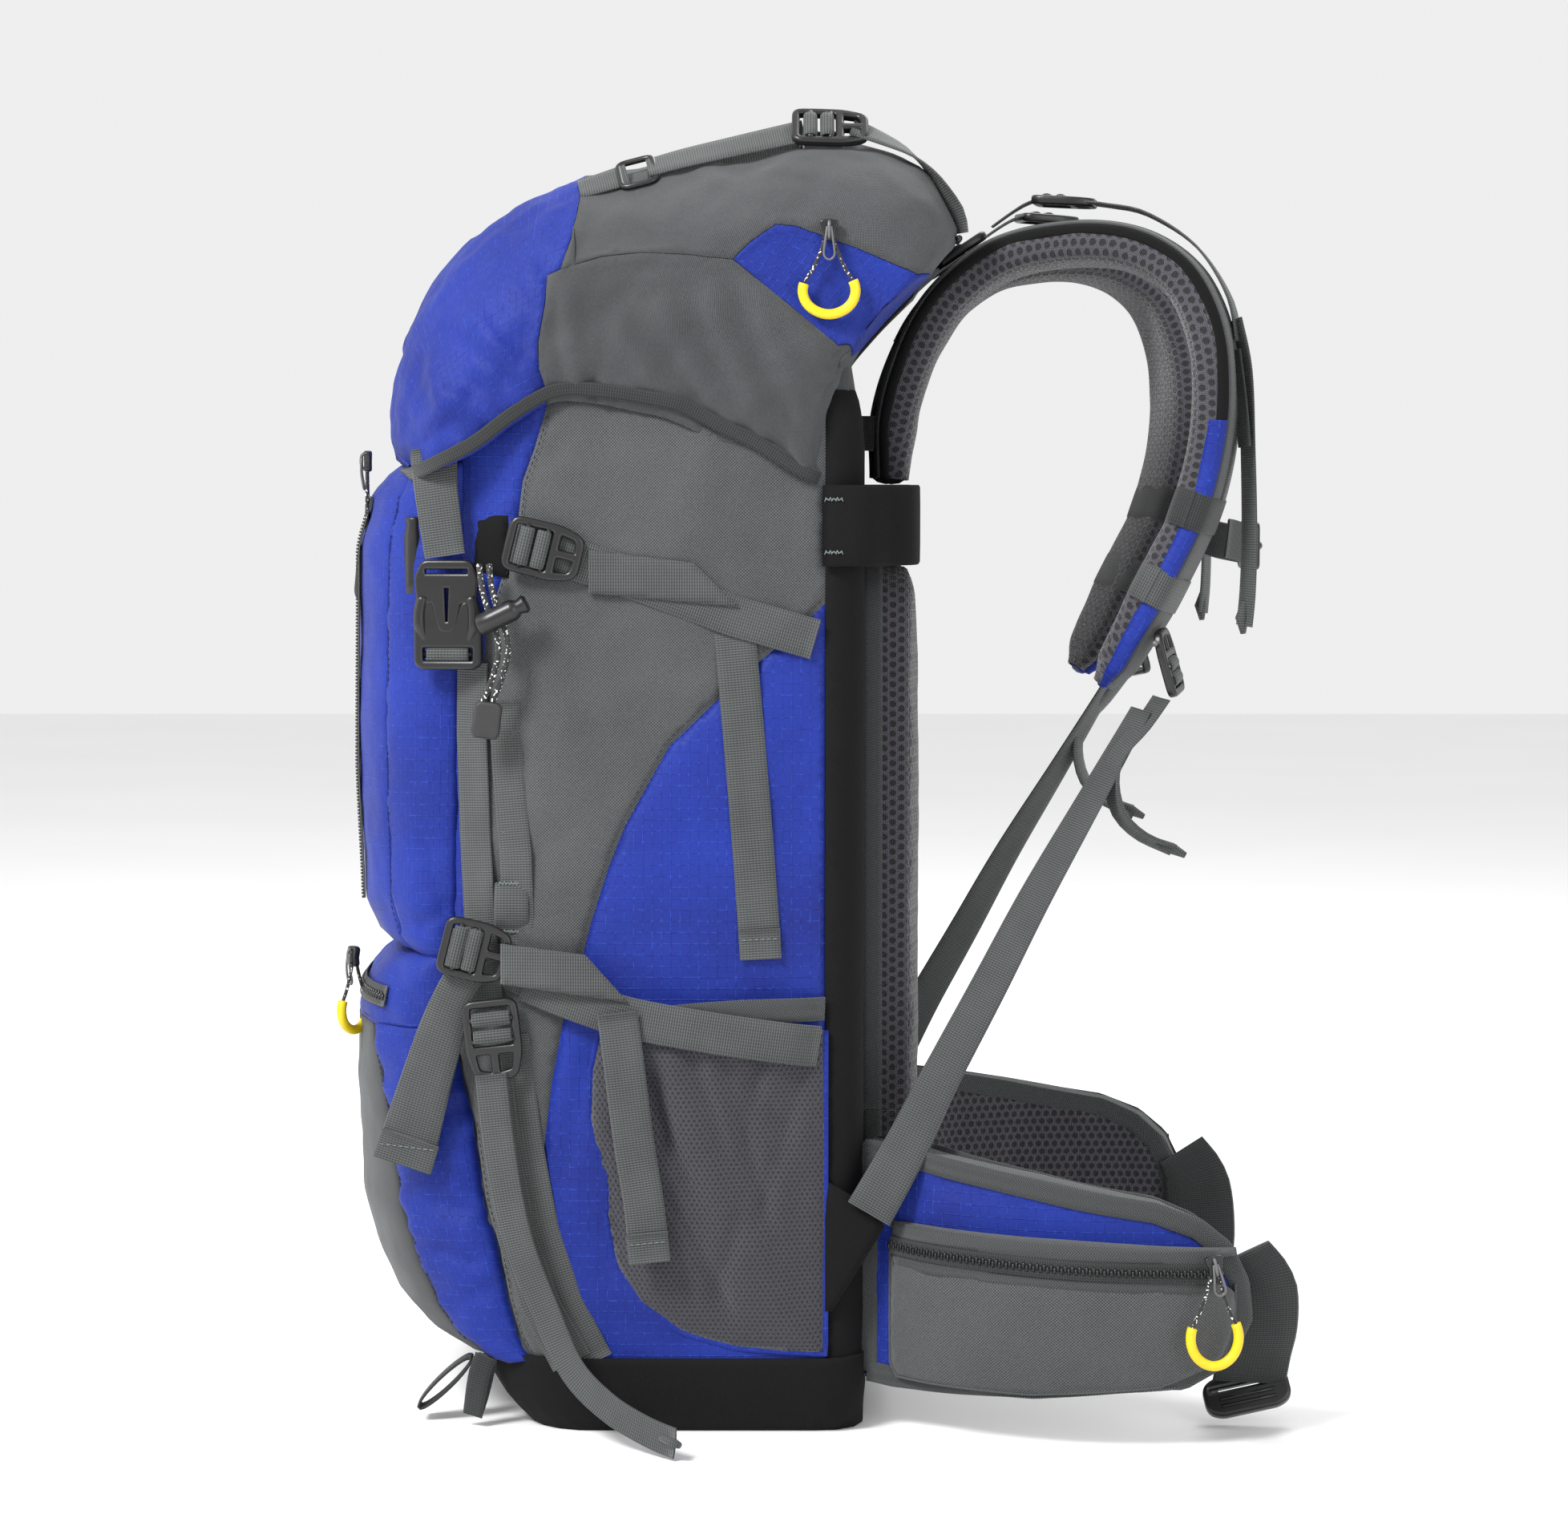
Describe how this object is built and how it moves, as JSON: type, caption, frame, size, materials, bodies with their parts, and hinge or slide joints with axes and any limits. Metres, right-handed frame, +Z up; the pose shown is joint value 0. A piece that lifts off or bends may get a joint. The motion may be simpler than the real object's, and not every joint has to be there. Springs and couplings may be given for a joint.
{
  "type": "trekking backpack",
  "caption": "Framed trekking rucksack with floating lid, front and side pockets, compression straps, padded shoulder straps and hip belt.",
  "frame": {"origin": "centre of the bag's flat base, on the ground", "axes": "+Z up the bag, +Y towards the wearer's back (harness side), +X towards the wearer's right"},
  "size_m": [0.4222, 0.4922, 0.664],
  "materials": {
    "grey_weave": "matte",
    "blue_ripstop": "satin",
    "black_fabric": "matte",
    "mesh": "matte",
    "spacer_mesh": "matte",
    "grey_webbing": "satin",
    "black_webbing": "matte",
    "black_plastic": "satin",
    "yellow_grip": "satin",
    "cord": "matte",
    "frame_plastic": "matte"
  },
  "bodies": {
    "pack": {"side_panel_right": "grey_weave", "side_panel_left": "grey_weave", "front_panel": "blue_ripstop", "back_panel": "black_fabric", "base": "black_fabric", "collar": "blue_ripstop", "frame_sheet": "frame_plastic", "front_pocket": "blue_ripstop", "bottom_pocket": "blue_ripstop", "mesh_pocket_right": "mesh", "mesh_pocket_left": "mesh", "back_pads": "spacer_mesh", "lumbar_pad": "spacer_mesh", "back_band": "black_fabric", "compression_straps": "grey_webbing", "ladder_locks": "black_plastic", "front_webbings": "grey_webbing", "clip_females": "black_plastic", "accessory_loops": "black_webbing", "axe_cords": "cord", "axe_tags": "black_plastic"},
    "lid": {"lid_cover": "blue_ripstop", "lid_pocket": "blue_ripstop", "lid_straps": "grey_webbing", "lid_hardware": "black_plastic"},
    "lid_zip": {"lid_zip": "yellow_grip", "lid_zip_cord": "cord"},
    "front_zip": {"front_zip": "black_plastic", "front_zip_cord": "cord"},
    "bottom_zip": {"bottom_zip": "yellow_grip", "bottom_zip_cord": "cord"},
    "clip_right": {"clip_male_right": "black_plastic", "clip_strap_right": "grey_webbing"},
    "clip_left": {"clip_male_left": "black_plastic", "clip_strap_left": "grey_webbing"},
    "shoulder_right": {"shoulder_strap_right": "spacer_mesh", "strap_webbing_right": "grey_webbing", "strap_hardware_right": "black_plastic"},
    "sternum_right": {"sternum_strap_right": "black_webbing", "sternum_buckle_right": "black_plastic"},
    "wing_right": {"belt_wing_right": "black_fabric", "belt_pocket_right": "grey_weave"},
    "belt_zip_right": {"belt_right_zip": "yellow_grip", "belt_right_zip_cord": "cord"},
    "belt_strap_right": {"belt_webbing_right": "black_webbing", "belt_buckle_right": "black_plastic"},
    "cord_lock_right": {"cord_lock_right": "black_plastic"},
    "shoulder_left": {"shoulder_strap_left": "spacer_mesh", "strap_webbing_left": "grey_webbing", "strap_hardware_left": "black_plastic"},
    "sternum_left": {"sternum_strap_left": "black_webbing", "sternum_buckle_left": "black_plastic"},
    "wing_left": {"belt_wing_left": "black_fabric", "belt_pocket_left": "grey_weave"},
    "belt_zip_left": {"belt_left_zip": "yellow_grip", "belt_left_zip_cord": "cord"},
    "belt_strap_left": {"belt_webbing_left": "black_webbing", "belt_buckle_left": "black_plastic"},
    "cord_lock_left": {"cord_lock_left": "black_plastic"}
  },
  "joints": [
    {"name": "lid_hinge", "type": "hinge", "parent": "pack", "child": "lid", "pos_m": [0, 0.148, 0.606], "axis": [-1, 0, 0], "range_deg": [0, 65]},
    {"name": "clip_right_hang", "type": "hinge", "parent": "lid", "child": "clip_right", "pos_m": [0.1379, -0.1162, 0.474], "axis": [1, 0, 0], "range_deg": [0, 65]},
    {"name": "clip_left_hang", "type": "hinge", "parent": "lid", "child": "clip_left", "pos_m": [-0.1379, -0.1162, 0.474], "axis": [1, 0, 0], "range_deg": [0, 65]},
    {"name": "lid_zip_slide", "type": "slide", "parent": "lid", "child": "lid_zip", "axis": [0, 0.9206, -0.3905], "range_m": [0, 0.04]},
    {"name": "front_zip_slide", "type": "slide", "parent": "pack", "child": "front_zip", "axis": [0, 0, -1], "range_m": [0, 0.18]},
    {"name": "bottom_zip_slide", "type": "slide", "parent": "pack", "child": "bottom_zip", "axis": [-0.9864, -0.1644, 0], "range_m": [0, 0.045]},
    {"name": "shoulder_right_swing", "type": "hinge", "parent": "pack", "child": "shoulder_right", "pos_m": [0.055, 0.111, 0.476], "axis": [0.2634, -0.0342, -0.9641], "range_deg": [0, 6]},
    {"name": "sternum_right_swing", "type": "hinge", "parent": "shoulder_right", "child": "sternum_right", "pos_m": [0.083, 0.281, 0.446], "axis": [0, 0, -1], "range_deg": [0, 70]},
    {"name": "wing_right_wrap", "type": "hinge", "parent": "pack", "child": "wing_right", "pos_m": [0.121, 0.096, 0.085], "axis": [0, 0, 1], "range_deg": [0, 20]},
    {"name": "belt_zip_right_slide", "type": "slide", "parent": "wing_right", "child": "belt_zip_right", "axis": [0, -1, 0], "range_m": [0, 0.075]},
    {"name": "belt_strap_right_swing", "type": "hinge", "parent": "wing_right", "child": "belt_strap_right", "pos_m": [0.148, 0.293, 0.09], "axis": [0, 1, 0], "range_deg": [-3, 40]},
    {"name": "cord_lock_right_slide", "type": "slide", "parent": "pack", "child": "cord_lock_right", "axis": [0.1998, 0.3896, -0.8991], "range_m": [-0.003, 0.003]},
    {"name": "shoulder_left_swing", "type": "hinge", "parent": "pack", "child": "shoulder_left", "pos_m": [-0.055, 0.111, 0.476], "axis": [0.2634, 0.0342, 0.9641], "range_deg": [0, 6]},
    {"name": "sternum_left_swing", "type": "hinge", "parent": "shoulder_left", "child": "sternum_left", "pos_m": [-0.083, 0.281, 0.446], "axis": [0, 0, 1], "range_deg": [0, 70]},
    {"name": "wing_left_wrap", "type": "hinge", "parent": "pack", "child": "wing_left", "pos_m": [-0.121, 0.096, 0.085], "axis": [0, 0, -1], "range_deg": [0, 20]},
    {"name": "belt_zip_left_slide", "type": "slide", "parent": "wing_left", "child": "belt_zip_left", "axis": [0, -1, 0], "range_m": [0, 0.075]},
    {"name": "belt_strap_left_swing", "type": "hinge", "parent": "wing_left", "child": "belt_strap_left", "pos_m": [-0.148, 0.293, 0.09], "axis": [0, -1, 0], "range_deg": [-3, 40]},
    {"name": "cord_lock_left_slide", "type": "slide", "parent": "pack", "child": "cord_lock_left", "axis": [-0.1998, 0.3896, -0.8991], "range_m": [-0.003, 0.003]}
  ],
  "couplings": [
    {"joint": "clip_right_hang", "follows": "lid_hinge", "ratio": 1},
    {"joint": "clip_left_hang", "follows": "lid_hinge", "ratio": 1}
  ]
}
